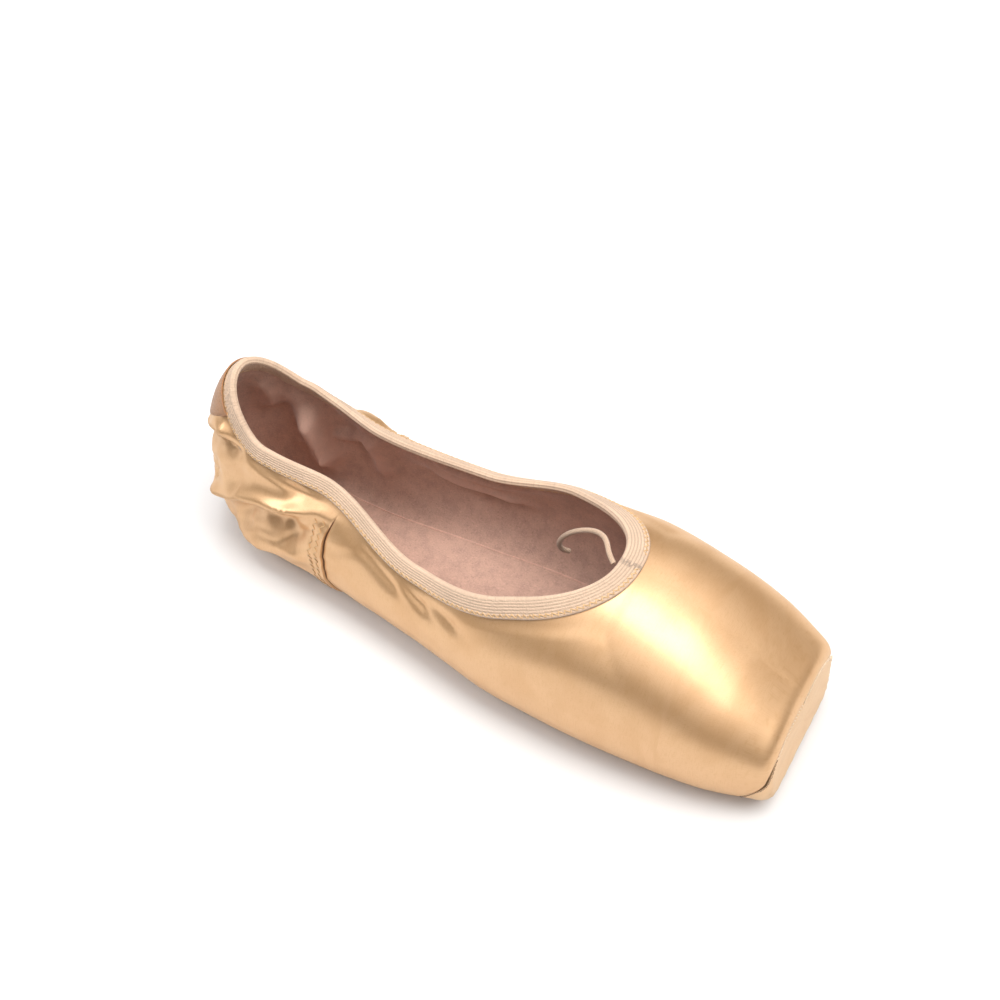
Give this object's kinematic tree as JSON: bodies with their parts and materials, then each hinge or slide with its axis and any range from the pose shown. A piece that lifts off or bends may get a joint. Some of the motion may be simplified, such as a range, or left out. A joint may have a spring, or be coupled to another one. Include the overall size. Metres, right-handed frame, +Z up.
{
  "type": "pointe shoe",
  "caption": "Ballet pointe shoe with a stiff flat-toed box, hollow satin upper, ribbed collar binding with a drawstring end, heel patch, insole and thin leather outsole, standing flat.",
  "frame": {"origin": "on the floor, under the middle of the shoe's length and width", "axes": "+X from the heel to the toe, +Y to the wearer's left, +Z up"},
  "size_m": [0.2392, 0.0802, 0.0762],
  "materials": {
    "satin": "glossy peach satin",
    "toe_satin": "glossy pale satin",
    "ribbed_elastic": "matte ribbed elastic",
    "patch_suede": "napped suede",
    "sole_leather": "matte buffed leather",
    "lining_suede": "napped pink-mauve suede",
    "cord_cotton": "matte braided cotton"
  },
  "bodies": {
    "root": {"upper": "satin", "toe_panel": "toe_satin", "collar_binding": "ribbed_elastic", "heel_patch": "patch_suede", "outsole": "sole_leather", "insole": "lining_suede", "drawstring": "cord_cotton"}
  },
  "joints": []
}
